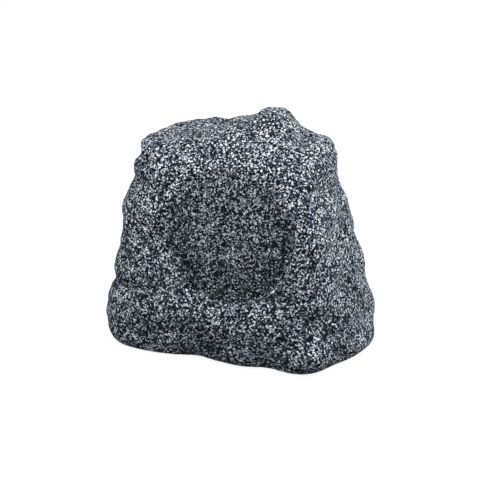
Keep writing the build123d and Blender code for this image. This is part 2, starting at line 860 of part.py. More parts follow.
with BuildPart() as magnet:
    with BuildSketch(driver_section):
        Polygon(*ring(magnet_bore_radius, magnet_radius, magnet_back, plate_back), align=None)
    revolve(axis=driver_axis)
magnet.part.label = "magnet"
export_step(magnet.part, "parts/magnet.step")

stud_bore = post_stud_radius + post_stud_slack
with BuildPart() as yoke:
    with BuildSketch(driver_section):
        Polygon(
            (stud_bore, yoke_back),
            (yoke_radius, yoke_back),
            (yoke_radius, magnet_back),
            (pole_radius, magnet_back),
            (pole_radius, magnet_front),
            (stud_bore, magnet_front),
            align=None,
        )
    revolve(axis=driver_axis)
yoke.part.label = "yoke"
export_step(yoke.part, "parts/yoke.step")

# Voice coil: a thin former with its winding in the gap
former_front = -former_reach
winding_middle = magnet_front - front_plate_thickness / 2
winding_back = winding_middle - winding_length / 2
with BuildPart() as coil_former:
    with BuildSketch(driver_section):
        Polygon(*ring(former_inner, former_outer, former_front - former_length, former_front), align=None)
    revolve(axis=driver_axis)
coil_former.part.label = "coil_former"
export_step(coil_former.part, "parts/coil_former.step")

with BuildPart() as coil_winding:
    with BuildSketch(driver_section):
        Polygon(
            *ring(former_outer + glue_gap, winding_outer, winding_back, winding_back + winding_length),
            align=None,
        )
    revolve(axis=driver_axis)
coil_winding.part.label = "coil_winding"
export_step(coil_winding.part, "parts/coil_winding.step")

# Cone, glued round the former, with a flat lip for the surround
cone_neck = former_outer + glue_gap
lip_front = cuff_level
lip_back = lip_front - cone_lip_thickness
lip_inner = cone_radius - cone_lip
with BuildPart() as cone:
    with BuildSketch(driver_section):
        Polygon(
            (cone_neck, -cone_neck_depth - cone_thickness),
            (lip_inner, lip_back),
            (cone_radius, lip_back),
            (cone_radius, lip_front),
            (lip_inner - cone_thickness / 2, lip_front),
            (cone_neck, -cone_neck_depth),
            align=None,
        )
    revolve(axis=driver_axis)
cone.part.label = "cone"
export_step(cone.part, "parts/cone.step")

# Surround: a half roll between the cone's lip and the flange
cuff_back = cuff_level + glue_gap
cuff_front = cuff_back + surround_thickness
roll_outer = roll_radius + surround_thickness / 2
roll_inner = roll_radius - surround_thickness / 2
with BuildPart() as surround:
    with BuildSketch(driver_section):
        with Locations((roll_centre, cuff_back)):
            Circle(roll_outer)
            Circle(roll_inner, mode=Mode.SUBTRACT)
            Rectangle(
                2 * roll_outer, roll_outer, align=(Align.CENTER, Align.MAX), mode=Mode.SUBTRACT
            )
        Polygon(*ring(lip_inner, roll_centre - roll_inner, cuff_back, cuff_front), align=None)
        Polygon(*ring(roll_centre + roll_inner, cuff_radius, cuff_back, cuff_front), align=None)
        with Locations((roll_centre, cuff_back)):
            Circle(roll_inner, mode=Mode.SUBTRACT)
    revolve(axis=driver_axis)
surround.part.label = "surround"
export_step(surround.part, "parts/surround.step")

# Spider: a corrugated cloth ring from the former out to its seat in the basket
spider_inner = former_outer + spider_gap
spider_outer = spider_seat_radius - head_gap
wave_start = spider_inner + spider_cuff
wave_end = cup_radius - spider_gap
wave_run = (wave_end - wave_start) / (2 * spider_waves)
spider_top = spider_seat + spider_thickness
with BuildPart() as spider:
    with BuildSketch(driver_section):
        with BuildLine():
            for level in (spider_seat, spider_top):
                Line((spider_inner, level), (wave_start, level))
                for number in range(2 * spider_waves):
                    arc_start = wave_start + wave_run * number
                    arc_top = level + spider_wave_height * (-1) ** number
                    ThreePointArc(
                        (arc_start, level),
                        (arc_start + wave_run / 2, arc_top),
                        (arc_start + wave_run, level),
                    )
                Line((wave_end, level), (spider_outer, level))
            Line((spider_inner, spider_seat), (spider_inner, spider_top))
            Line((spider_outer, spider_seat), (spider_outer, spider_top))
        make_face()
    revolve(axis=driver_axis)
spider.part.label = "spider"
export_step(spider.part, "parts/spider.step")

# Terminal strip under the cup, with two solder tabs
with BuildPart() as terminal_strip:
    with BuildSketch(driver_plane.offset(strip_level - basket_thickness)):
        with Locations((0, -strip_seat)):
            Rectangle(strip_width, strip_thickness, align=(Align.CENTER, Align.MAX))
    extrude(amount=strip_depth)
terminal_strip.part.label = "terminal_strip"
export_step(terminal_strip.part, "parts/terminal_strip.step")

tab_seat = strip_seat + strip_thickness
tab_back = strip_level - basket_thickness + (strip_depth - tab_width) / 2
with BuildPart() as terminal_tabs:
    with BuildSketch(driver_plane.offset(tab_back)):
        with Locations((-tab_spacing / 2, -tab_seat), (tab_spacing / 2, -tab_seat)):
            Rectangle(tab_thickness, tab_length, align=(Align.CENTER, Align.MAX))
    extrude(amount=tab_width)
terminal_tabs.part.label = "terminal_tabs"
export_step(terminal_tabs.part, "parts/terminal_tabs.step")

# Tweeter post: its stud sits in the pole, its shoulder on the pole's face
post_front = magnet_front + post_length
with BuildPart() as tweeter_post:
    with BuildSketch(driver_section):
        Polygon(
            (post_bore_radius, magnet_front - post_stud_length),
            (post_stud_radius, magnet_front - post_stud_length),
            (post_stud_radius, magnet_front),
            (post_radius, magnet_front),
            (post_radius, post_front),
            (post_bore_radius, post_front),
            align=None,
        )
    revolve(axis=driver_axis)
tweeter_post.part.label = "tweeter_post"
export_step(tweeter_post.part, "parts/tweeter_post.step")

# Tweeter: a cup with a disc magnet, a pole plate, a dome and a ring that holds the dome down
tweeter_front = post_front + tweeter_depth
tweeter_seat = post_front + tweeter_floor
with BuildPart() as tweeter_housing:
    with BuildSketch(driver_section):
        Polygon(
            (post_bore_radius, post_front),
            (tweeter_radius, post_front),
            (tweeter_radius, tweeter_front),
            (tweeter_radius - tweeter_wall, tweeter_front),
            (tweeter_radius - tweeter_wall, tweeter_seat),
            (post_bore_radius, tweeter_seat),
            align=None,
        )
    revolve(axis=driver_axis)
tweeter_housing.part.label = "tweeter_housing"
export_step(tweeter_housing.part, "parts/tweeter_housing.step")

tweeter_magnet_front = tweeter_seat + tweeter_magnet_thickness
with BuildPart() as tweeter_magnet:
    with BuildSketch(driver_plane.offset(tweeter_seat)):
        Circle(tweeter_magnet_radius)
    extrude(amount=tweeter_magnet_thickness)
tweeter_magnet.part.label = "tweeter_magnet"
export_step(tweeter_magnet.part, "parts/tweeter_magnet.step")

with BuildPart() as tweeter_plate:
    with BuildSketch(driver_plane.offset(tweeter_magnet_front)):
        Circle(tweeter_plate_radius)
    extrude(amount=tweeter_plate_thickness)
tweeter_plate.part.label = "tweeter_plate"
export_step(tweeter_plate.part, "parts/tweeter_plate.step")

diaphragm_radius = (tweeter_dome_radius**2 + tweeter_dome_rise**2) / (2 * tweeter_dome_rise)
diaphragm_inside = diaphragm_radius - tweeter_dome_thickness
dome_seat = tweeter_front + tweeter_dome_thickness
dome_crown = dome_seat + tweeter_dome_rise
dome_inner_crown = dome_crown - tweeter_dome_thickness
diaphragm_front_angle = dome_angle(dome_crown, diaphragm_radius, dome_seat)
diaphragm_back_angle = dome_angle(dome_inner_crown, diaphragm_inside, tweeter_front)
diaphragm_centre = (0, dome_crown - diaphragm_radius)

with BuildPart() as tweeter_dome:
    with BuildSketch(driver_section):
        with BuildLine():
            CenterArc(diaphragm_centre, diaphragm_radius, 90 - diaphragm_front_angle, diaphragm_front_angle)
            Polyline(
                dome_edge(dome_crown, diaphragm_radius, dome_seat),
                (tweeter_radius, dome_seat),
                (tweeter_radius, tweeter_front),
                dome_edge(dome_inner_crown, diaphragm_inside, tweeter_front),
            )
            CenterArc(diaphragm_centre, diaphragm_inside, 90 - diaphragm_back_angle, diaphragm_back_angle)
            Line((0, dome_inner_crown), (0, dome_crown))
        make_face()
    revolve(axis=driver_axis)
tweeter_dome.part.label = "tweeter_dome"
export_step(tweeter_dome.part, "parts/tweeter_dome.step")

ring_front = dome_seat + tweeter_ring_thickness
with BuildPart() as tweeter_ring:
    with BuildSketch(driver_section):
        Polygon(
            (tweeter_dome_radius + head_gap, dome_seat),
            (tweeter_ring_radius, dome_seat),
            (tweeter_ring_radius, ring_front),
            (tweeter_dome_radius + head_gap + tweeter_ring_thickness, ring_front),
            align=None,
        )
    revolve(axis=driver_axis)
tweeter_ring.part.label = "tweeter_ring"
export_step(tweeter_ring.part, "parts/tweeter_ring.step")

# Crossover board on its posts, with its screws
board_bottom = plate_top + standoff_height
board_top = board_bottom + board_thickness
with BuildPart() as crossover_board:
    with BuildSketch(Plane.XY.offset(board_bottom)):
        with Locations((board_x, board_y)):
            Rectangle(board_width, board_depth)
            with GridLocations(board_holes_x, board_holes_y, 2, 2):
                Circle(board_screw_radius + hole_slack, mode=Mode.SUBTRACT)
    extrude(amount=board_thickness)
crossover_board.part.label = "crossover_board"
export_step(crossover_board.part, "parts/crossover_board.step")

with BuildPart() as board_screws:
    with BuildSketch(Plane.XY.offset(board_top)):
        with Locations((board_x, board_y)):
            with GridLocations(board_holes_x, board_holes_y, 2, 2):
                Circle(board_head_radius)
    extrude(amount=board_head_height)
    with BuildSketch(Plane.XY.offset(board_top)):
        with Locations((board_x, board_y)):
            with GridLocations(board_holes_x, board_holes_y, 2, 2):
                Circle(board_screw_radius)
    extrude(amount=-board_screw_length)
board_screws.part.label = "board_screws"
export_step(board_screws.part, "parts/board_screws.step")

# Air coil: a spool and its copper winding
inductor_place = (board_x + inductor_x, board_y + inductor_y)
spool_top = board_top + bobbin_height
with BuildPart() as inductor_bobbin:
    for low, high, radius in (
        (board_top, board_top + bobbin_flange, bobbin_radius),
        (board_top, spool_top, bobbin_core_radius),
        (spool_top - bobbin_flange, spool_top, bobbin_radius),
    ):
        with BuildSketch(Plane.XY.offset(low)):
            with Locations(inductor_place):
                Circle(radius)
        extrude(amount=high - low)
    with BuildSketch(Plane.XY.offset(board_top)):
        with Locations(inductor_place):
            Circle(bobbin_bore_radius)
    extrude(amount=bobbin_height, mode=Mode.SUBTRACT)
inductor_bobbin.part.label = "inductor_bobbin"
export_step(inductor_bobbin.part, "parts/inductor_bobbin.step")

with BuildPart() as inductor_winding:
    with BuildSketch(Plane.XY.offset(board_top + bobbin_flange)):
        with Locations(inductor_place):
            Circle(bobbin_radius - bobbin_flange)
            Circle(bobbin_core_radius + winding_gap, mode=Mode.SUBTRACT)
    extrude(amount=bobbin_height - 2 * bobbin_flange)
inductor_winding.part.label = "inductor_winding"
export_step(inductor_winding.part, "parts/inductor_winding.step")

# Two capacitors that lie on the board
capacitor_plane = Plane(
    origin=(board_x + capacitor_x, board_y + capacitor_y, board_top + capacitor_radius + capacitor_clear),
    x_dir=(0, -1, 0),
    z_dir=(1, 0, 0),
)
with BuildPart() as capacitors:
    with BuildSketch(capacitor_plane):
        with Locations((0, 0), (capacitor_pitch, 0)):
            Circle(capacitor_radius)
    extrude(amount=capacitor_length / 2, both=True)
    fillet(capacitors.edges().filter_by(GeomType.CIRCLE), capacitor_edge)
capacitors.part.label = "capacitors"
export_step(capacitors.part, "parts/capacitors.step")

with BuildPart() as resistor:
    with BuildSketch(Plane.XY.offset(board_top)):
        with Locations((board_x + resistor_x, board_y + resistor_y)):
            Rectangle(resistor_length, resistor_width)
    extrude(amount=resistor_height)
resistor.part.label = "resistor"
export_step(resistor.part, "parts/resistor.step")

# Terminal block for the cable that comes in through the gland
block_place = (board_x + block_x, board_y + block_y)
block_top = board_top + block_height
block_back = Plane(
    origin=(block_place[0], block_place[1] + block_depth / 2, board_top + block_way_height),
    x_dir=(-1, 0, 0),
    z_dir=(0, 1, 0),
)
with BuildPart() as terminal_block:
    with BuildSketch(Plane.XY.offset(board_top)):
        with Locations(block_place):
            Rectangle(block_width, block_depth)
    extrude(amount=block_height)
    with BuildSketch(block_back):
        with GridLocations(block_way_pitch, block_way_pitch, 2, 1):
            Circle(block_way_radius)
    extrude(amount=-block_depth / 2, mode=Mode.SUBTRACT)
    with BuildSketch(Plane.XY.offset(block_top)):
        with Locations(block_place):
            with GridLocations(block_way_pitch, block_way_pitch, 2, 1):
                Circle(block_screw_radius + hole_slack)
    extrude(amount=-block_screw_depth, mode=Mode.SUBTRACT)
terminal_block.part.label = "terminal_block"
export_step(terminal_block.part, "parts/terminal_block.step")

with BuildPart() as terminal_screws:
    with BuildSketch(Plane.XY.offset(block_top - block_screw_depth)):
        with Locations(block_place):
            with GridLocations(block_way_pitch, block_way_pitch, 2, 1):
                Circle(block_screw_radius)
    extrude(amount=block_screw_depth - head_gap)
    with BuildSketch(Plane.XY.offset(block_top)):
        with Locations(block_place):
            with GridLocations(block_way_pitch, block_way_pitch, 2, 1):
                Rectangle(2 * block_screw_radius, block_slot)
    extrude(amount=-head_gap - block_slot, mode=Mode.SUBTRACT)
terminal_screws.part.label = "terminal_screws"
export_step(terminal_screws.part, "parts/terminal_screws.step")

# Woofer lead: from between the tabs down to the front of the board
woofer_start = driver_plane.from_local_coords(Vector(0, -tab_seat - lead_clear, tab_back + tab_width / 2))
woofer_end = Vector(board_x - inductor_x, board_y + resistor_y, board_top + lead_clear)
woofer_route = [
    woofer_start,
    woofer_start + Vector(0, -4, -22),
    woofer_start + Vector(4, 2, -42),
    woofer_end + Vector(0, -4, 28),
    woofer_end + Vector(0, 0, 12),
    woofer_end,
]
woofer_radii = corner_radii(woofer_route)
print("woofer lead radii", [round(radius, 1) for radius in woofer_radii])
with BuildPart() as woofer_lead:
    with BuildLine() as woofer_line:
        FilletPolyline(*woofer_route, radius=woofer_radii)
    with BuildSketch(Plane(origin=woofer_line.line @ 0, z_dir=woofer_line.line % 0)):
        Circle(lead_radius)
    sweep(path=woofer_line.line)
woofer_lead.part.label = "woofer_lead"
export_step(woofer_lead.part, "parts/woofer_lead.step")

# Tweeter lead: through the hollow post and the yoke, then down to the back of the board
tweeter_start = driver_plane.from_local_coords(Vector(0, 0, post_front + lead_clear))
tweeter_turn = driver_plane.from_local_coords(Vector(0, 0, yoke_back - tweeter_lead_tail))
tweeter_end = Vector(board_x + capacitor_x + capacitor_length, board_y, board_top + lead_clear)
tweeter_route = [
    tweeter_start,
    tweeter_turn,
    tweeter_turn + Vector(4, 18, -30),
    tweeter_end + Vector(0, 6, 50),
    tweeter_end + Vector(0, 0, 22),
    tweeter_end,
]
tweeter_radii = corner_radii(tweeter_route)
print("tweeter lead radii", [round(radius, 1) for radius in tweeter_radii])
with BuildPart() as tweeter_lead:
    with BuildLine() as tweeter_line:
        FilletPolyline(*tweeter_route, radius=tweeter_radii)
    with BuildSketch(Plane(origin=tweeter_line.line @ 0, z_dir=tweeter_line.line % 0)):
        Circle(tweeter_lead_radius)
    sweep(path=tweeter_line.line)
tweeter_lead.part.label = "tweeter_lead"
export_step(tweeter_lead.part, "parts/tweeter_lead.step")
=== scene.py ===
import json
import math

import bmesh
import bpy
from mathutils import Matrix, Vector, noise


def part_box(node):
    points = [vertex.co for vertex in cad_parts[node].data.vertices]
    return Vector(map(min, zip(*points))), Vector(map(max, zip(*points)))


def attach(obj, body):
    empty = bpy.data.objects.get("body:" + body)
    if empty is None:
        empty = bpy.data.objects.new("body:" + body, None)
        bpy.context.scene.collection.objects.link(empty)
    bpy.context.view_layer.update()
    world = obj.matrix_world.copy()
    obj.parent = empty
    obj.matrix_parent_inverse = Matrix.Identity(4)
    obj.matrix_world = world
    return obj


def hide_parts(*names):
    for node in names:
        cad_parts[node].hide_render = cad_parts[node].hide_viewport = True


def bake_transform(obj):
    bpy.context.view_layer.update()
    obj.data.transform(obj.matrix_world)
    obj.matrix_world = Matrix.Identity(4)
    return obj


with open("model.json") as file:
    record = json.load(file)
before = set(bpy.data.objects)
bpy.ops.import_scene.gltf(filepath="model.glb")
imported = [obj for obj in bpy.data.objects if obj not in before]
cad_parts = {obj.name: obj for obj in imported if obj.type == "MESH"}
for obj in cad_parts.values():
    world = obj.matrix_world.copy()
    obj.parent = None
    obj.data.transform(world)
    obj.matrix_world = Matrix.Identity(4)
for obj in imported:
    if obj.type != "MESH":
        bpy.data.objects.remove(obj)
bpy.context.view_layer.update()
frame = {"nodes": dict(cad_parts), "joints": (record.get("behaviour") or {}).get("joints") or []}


# Bottom cover: a flat plate of black moulded plastic that closes the stone from below.
# It is let into the stone's mouth and screwed up to a ledge there, and it carries the board.
class Socket:
    """A socket in a material's nodes. Arithmetic on it adds Math nodes."""

    def __init__(self, tree, socket):
        self.tree = tree
        self.socket = socket

    def feed(self, target, value):
        """Links a socket to a target, or sets the target's own value."""
        if isinstance(value, Socket):
            self.tree.links.new(value.socket, target)
        else:
            target.default_value = value

    def node(self, kind, output, inputs, ramp=None, **settings):
        """Adds a node, with its settings first and then its sockets' values or links."""
        made = self.tree.nodes.new("ShaderNode" + kind)
        for name, setting in settings.items():
            setattr(made, name, setting)
        if ramp:
            made.color_ramp.interpolation, stops = ramp
            elements = made.color_ramp.elements
            elements.remove(elements[1])
            for number, (position, colour) in enumerate(stops):
                stop = elements[0] if number == 0 else elements.new(position)
                stop.position = position
                stop.color = colour
        for name, value in inputs.items():
            self.feed(made.inputs[name], value)
        return Socket(self.tree, made.outputs[output])

    def maths(self, operation, first, second):
        return self.node("Math", 0, {0: first, 1: second}, operation=operation)

    def __add__(self, other):
        return self.maths("ADD", self, other)

    def __sub__(self, other):
        return self.maths("SUBTRACT", self, other)

    def __rsub__(self, other):
        return self.maths("SUBTRACT", other, self)

    def __mul__(self, other):
        return self.maths("MULTIPLY", self, other)

    __radd__ = __add__
    __rmul__ = __mul__


def new_finish(name):
    """A new material, its shader, and a socket with the piece's own coordinates."""
    material = bpy.data.materials.new(name)
    material.use_nodes = True
    tree = material.node_tree
    place = Socket(tree, tree.nodes.new("ShaderNodeTexCoord").outputs["Object"])
    return material, tree.nodes["Principled BSDF"], place


def dress(material, *names):
    """Gives CAD pieces a material."""
    for name in names:
        slots = frame["nodes"][name].data.materials
        slots.clear()
        slots.append(material)


def clouded(name, dark, light, cloud_scale, grain_scale, rough, grain_height, metal=0.0):
    """A finish that drifts between two colours, with a fine grain in its surface."""
    material, shader, place = new_finish(name)
    cloud = place.node("TexNoise", 0, {"Vector": place, "Scale": cloud_scale, "Detail": 4.0})
    grain = place.node("TexNoise", 0, {"Vector": place, "Scale": grain_scale, "Detail": 2.0})
    tint = place.node("Mix", 2, {0: cloud, 6: (*dark, 1), 7: (*light, 1)}, data_type="RGBA")
    place.feed(shader.inputs["Base Color"], tint)
    rough_spread = 0.2
    place.feed(shader.inputs["Roughness"], rough - rough_spread / 2 + rough_spread * cloud)
    bump = place.node("Bump", 0, {"Height": grain, "Strength": 0.5, "Distance": grain_height})
    place.feed(shader.inputs["Normal"], bump)
    shader.inputs["Metallic"].default_value = metal
    return material


black_moulding = clouded(
    "black_moulding", (0.018, 0.018, 0.019), (0.034, 0.034, 0.036), 45.0, 1400.0, 0.55, 0.0002
)
dress(black_moulding, "base_plate")

# Seals: closed cell foam, cut flat and squeezed between two faces.
# One lies on the bottom cover's edge, one under the driver's flange, one under the grille's rim.
black_foam = clouded("black_foam", (0.012, 0.012, 0.013), (0.03, 0.03, 0.031), 500.0, 2600.0, 0.9, 0.0004)
dress(black_foam, "base_seal", "driver_gasket", "grille_seal")

# Feet and rubber pieces: four soft pads let into the bottom cover, the gland's rubber parts
# and the rolled rubber edge of the cone.
black_rubber = clouded(
    "black_rubber", (0.012, 0.012, 0.012), (0.026, 0.026, 0.027), 90.0, 1800.0, 0.75, 0.0001
)
dress(black_rubber, "rubber_feet", "gland_washer", "gland_seal", "surround")

# Screws: zinc plated steel with a dull, slightly cloudy shine.
# They hold the cover, the feet, the driver and the board, and clamp wires in the terminal block.
zinc_screws = clouded(
    "zinc_screws", (0.42, 0.43, 0.45), (0.62, 0.63, 0.66), 260.0, 3000.0, 0.38, 0.00004, 1.0
)
dress(zinc_screws, "base_screws", "foot_screws", "driver_screws", "board_screws", "terminal_screws")

# Crossover board: brown phenolic laminate on four posts of the bottom cover,
# with the strip under the driver's cup punched from the same sheet.
board_laminate = clouded(
    "board_laminate", (0.16, 0.085, 0.035), (0.3, 0.18, 0.085), 140.0, 2200.0, 0.5, 0.00005
)
dress(board_laminate, "crossover_board", "terminal_strip")

# Parts on the board: a spool of lacquered copper wire, two wrapped film capacitors,
# a cement filled resistor and a moulded terminal block.
white_moulding = clouded(
    "white_moulding", (0.6, 0.59, 0.55), (0.72, 0.71, 0.67), 80.0, 1500.0, 0.45, 0.00006
)
dress(white_moulding, "inductor_bobbin")
capacitor_film = clouded(
    "capacitor_film", (0.5, 0.34, 0.07), (0.64, 0.47, 0.13), 120.0, 900.0, 0.3, 0.00005
)
dress(capacitor_film, "capacitors")
cement = clouded("cement", (0.52, 0.51, 0.48), (0.72, 0.71, 0.68), 300.0, 1800.0, 0.85, 0.00025)
dress(cement, "resistor")
block_plastic = clouded(
    "block_plastic", (0.03, 0.14, 0.07), (0.06, 0.22, 0.11), 90.0, 1600.0, 0.45, 0.00005
)
dress(block_plastic, "terminal_block")
copper_dark = (0.35, 0.12, 0.05)
copper_light = (0.78, 0.36, 0.17)


def wound_wire(name, turns_per_metre, turn):
    """Lacquered copper wire in close turns round an axis that a turn of the pattern brings to Z."""
    material, shader, place = new_finish(name)
    along = place.node("Mapping", 0, {"Vector": place, "Rotation": turn})
    turns = place.node(
        "TexWave", 0, {"Vector": along, "Scale": turns_per_metre}, wave_type="BANDS", bands_direction="Z"
    )
    tint = place.node("Mix", 2, {0: turns, 6: (*copper_dark, 1), 7: (*copper_light, 1)}, data_type="RGBA")
    place.feed(shader.inputs["Base Color"], tint)
    bump = place.node("Bump", 0, {"Height": turns, "Strength": 0.8, "Distance": 0.0003})
    place.feed(shader.inputs["Normal"], bump)
    shader.inputs["Metallic"].default_value = 1.0
    shader.inputs["Roughness"].default_value = 0.3
    return material


copper_wire = wound_wire("copper_wire", 320.0, (0, 0, 0))
dress(copper_wire, "inductor_winding")

# Leads inside the stone: soft black sheaths that run up from the board.
# One goes to the driver's tabs, the other through the hollow post to the small dome.
lead_sheath = clouded(
    "lead_sheath", (0.014, 0.014, 0.015), (0.03, 0.03, 0.031), 200.0, 2400.0, 0.6, 0.00005
)
dress(lead_sheath, "woofer_lead", "tweeter_lead")

# Stone: a fibreglass shell sprayed with a coat of black, grey and white granite flecks.
# It is moulded in one piece with the recess in front and the pocket for the gland behind.
stone_voxel = 0.0034
stone_middle = Vector((0.0, 0.0, 0.130))
facing = Vector(frame["joints"][0]["axis"])
driver_tilt = math.asin(facing.z)
grille_low, grille_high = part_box("grille")
grille_middle = (grille_low + grille_high) / 2
recess_radius = (grille_high.x - grille_low.x) / 2
gland_low, gland_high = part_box("gland_cap_nut")
gland_middle = (gland_low + gland_high) / 2
pocket_radius = 0.024
stone_rim = 0.010
stone_fade = 0.030
peak_foot = 0.285
peak_rounds = 12
ripple_height = 0.0024
ripple_scale = 26.0
grit_height = 0.0016
grit_scale = 75.0
grit_shift = Vector((3.1, 1.7, 0.4))
speck_height = 0.0007
speck_scale = 210.0

# Place, reach each way and rise of the stone's smaller knobs and hollows
stone_knobs = (
    ((-0.104, 0.000, 0.290), (0.020, 0.070, 0.040), -0.004),  # dip behind the left corner
    ((-0.057, 0.000, 0.297), (0.012, 0.070, 0.040), -0.007),  # dip in the top's edge
    ((-0.026, 0.030, 0.300), (0.014, 0.060, 0.040), 0.003),  # knob beside the peak
    ((0.078, 0.000, 0.300), (0.015, 0.060, 0.030), -0.006),  # saddle right of the peak
    ((0.108, 0.020, 0.282), (0.014, 0.060, 0.030), 0.004),  # right corner
    ((0.020, 0.012, 0.318), (0.034, 0.026, 0.030), 0.006),  # crown of the peak
)


def ease(low, high, value):
    """Rises smoothly from 0 to 1 between two values."""
    share = min(1.0, max(0.0, (value - low) / (high - low)))
    return share * share * (3 - 2 * share)


def stone_shift(point):
    """How far the stone's wall stands out, from its middle, at a point of the moulded shape."""
    rise = ripple_height * noise.fractal(point * ripple_scale, 1.0, 2.0, 2)
    rise += grit_height * noise.fractal(point * grit_scale + grit_shift, 1.0, 2.0, 2)
    rise += speck_height * noise.noise(point * speck_scale)
    for place, reach, height in stone_knobs:
        away = sum(((point[k] - place[k]) / reach[k]) ** 2 for k in range(3))
        rise += height * math.exp(-away)
    rise *= ease(stone_rim, stone_rim + stone_fade, point.z)
    if point.y < 0:
        across = point - grille_middle
        beside = (across - facing * across.dot(facing)).length
        return rise * ease(recess_radius, recess_radius + stone_fade, beside)
    beside = math.hypot(point.x - gland_middle.x, point.z - gland_middle.z)
    return rise * ease(pocket_radius, pocket_radius + stone_fade, beside)


def copy_of(name, piece_name):
    """A merged copy of a CAD piece's mesh, as a new object."""
    mesh = bpy.data.meshes.new(piece_name)
    bm = bmesh.new()
    bm.from_mesh(frame["nodes"][name].data)
    bmesh.ops.remove_doubles(bm, verts=bm.verts, dist=1e-6)
    bm.to_mesh(mesh)
    bm.free()
    piece = bpy.data.objects.new(piece_name, mesh)
    bpy.context.scene.collection.objects.link(piece)
    return piece


def applied(piece):
    """Makes a piece's modifiers part of its mesh."""
    seen = piece.evaluated_get(bpy.context.evaluated_depsgraph_get())
    mesh = bpy.data.meshes.new_from_object(seen)
    piece.modifiers.clear()
    piece.data = mesh


stone = copy_of("rock_shell", "stone")
remesh = stone.modifiers.new("even_skin", "REMESH")
remesh.mode = "VOXEL"
remesh.voxel_size = stone_voxel
remesh.use_smooth_shade = True
applied(stone)
stone_mesh = bmesh.new()
stone_mesh.from_mesh(stone.data)
peak = [vertex for vertex in stone_mesh.verts if vertex.co.z > peak_foot]
for _ in range(peak_rounds):
    bmesh.ops.smooth_vert(
        stone_mesh, verts=peak, factor=0.5, use_axis_x=True, use_axis_y=True, use_axis_z=True
    )
for vertex in stone_mesh.verts:
    outward = (vertex.co - stone_middle).normalized()
    vertex.co += outward * stone_shift(vertex.co)
stone_mesh.to_mesh(stone.data)
stone_mesh.free()


def rising(place, low, high):
    """A socket that rises smoothly from 0 to 1 between two heights."""
    upward = place.node("SeparateXYZ", 2, {0: place})
    return place.node("MapRange", 0, {0: upward, 1: low, 2: high}, interpolation_type="SMOOTHSTEP")


def granite(name, fleck_size, shades, cloud_share, height, painted_shade):
    """Granite flecks: cells of random grey, bent out of round, fewer of them light where shade is painted
    in.

    A slow cloud makes patches with more light flecks, and each light fleck stands up a little.
    """
    bend_scale = 0.7 / fleck_size
    bend_reach = 1.7 * fleck_size
    grain_scale = 0.9 / fleck_size
    cloud_scale = 38.0
    fleck_relief = 0.3
    material, shader, place = new_finish(name)
    bend = place.node("TexNoise", "Color", {"Vector": place, "Scale": bend_scale, "Detail": 2.0})
    bent = place.node(
        "VectorMath", 0, {0: bend, 1: (bend_reach,) * 3, 2: place}, operation="MULTIPLY_ADD"
    )
    cells = place.node("TexVoronoi", "Color", {"Vector": bent, "Scale": 1 / fleck_size})
    shade = place.node("SeparateColor", 0, {0: cells})
    cloud = place.node("TexNoise", 0, {"Vector": place, "Scale": cloud_scale, "Detail": 4.0})
    # Painted shade: the flecks are made darker where less light falls on the piece.
    level = shade + cloud_share * (cloud - 0.5) - painted_shade(place)
    tint = place.node("ValToRGB", 0, {0: level}, ramp=("LINEAR", shades))
    place.feed(shader.inputs["Base Color"], tint)
    grain = place.node("TexNoise", 0, {"Vector": place, "Scale": grain_scale, "Detail": 3.0})
    relief = grain + fleck_relief * shade
    bump = place.node("Bump", 0, {"Height": relief, "Strength": 0.6, "Distance": height})
    place.feed(shader.inputs["Normal"], bump)
    place.feed(shader.inputs["Roughness"], 0.85 + 0.15 * grain)
    shader.inputs["Specular IOR Level"].default_value = 0.06
    return material


# Painted shade low on the stone: its flecks darken towards the ground, where less light reaches.
foot_shade_share = 0.035
foot_shade_height = 0.14


def painted_foot_shade(place):
    """Painted shade: darker flecks low on the stone, where less light reaches."""
    return foot_shade_share * (1.0 - rising(place, 0.0, foot_shade_height))


granite_coat = granite(
    "granite_coat",
    fleck_size=0.0018,
    shades=(
        (0.0, (0.003, 0.004, 0.006, 1)),
        (0.45, (0.007, 0.010, 0.015, 1)),
        (0.60, (0.033, 0.044, 0.064, 1)),
        (0.75, (0.145, 0.175, 0.22, 1)),
        (0.88, (0.57, 0.64, 0.72, 1)),
        (1.0, (0.94, 0.96, 0.98, 1)),
    ),
    cloud_share=0.22,
    height=0.0012,
    # painted shade towards the foot of the stone
    painted_shade=painted_foot_shade,
)
stone.data.materials.append(granite_coat)
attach(stone, "root")
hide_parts("rock_shell")

# Cable gland: a black nylon body through the pocket's floor, with a locknut inside the stone
# and a hexagon cap nut outside that squeezes the seal round the cable.
gland_plastic = clouded(
    "gland_plastic", (0.014, 0.014, 0.015), (0.03, 0.03, 0.032), 120.0, 1800.0, 0.42, 0.0001
)
dress(gland_plastic, "gland_body", "gland_locknut", "gland_cap_nut")

# Driver: a moulded basket with a ferrite magnet between plated steel plates behind it.
# The small dome stands before the cone in its own housing, on a hollow post from the yoke's pole.
plated_steel = clouded(
    "plated_steel", (0.36, 0.36, 0.37), (0.56, 0.56, 0.58), 70.0, 2200.0, 0.4, 0.00004, 1.0
)
dress(plated_steel, "front_plate", "yoke", "tweeter_post", "tweeter_magnet", "tweeter_plate")
dress(black_moulding, "basket", "tweeter_housing", "tweeter_ring")
ferrite = clouded("ferrite", (0.03, 0.03, 0.034), (0.062, 0.062, 0.067), 300.0, 1300.0, 0.7, 0.0002)
dress(ferrite, "magnet")

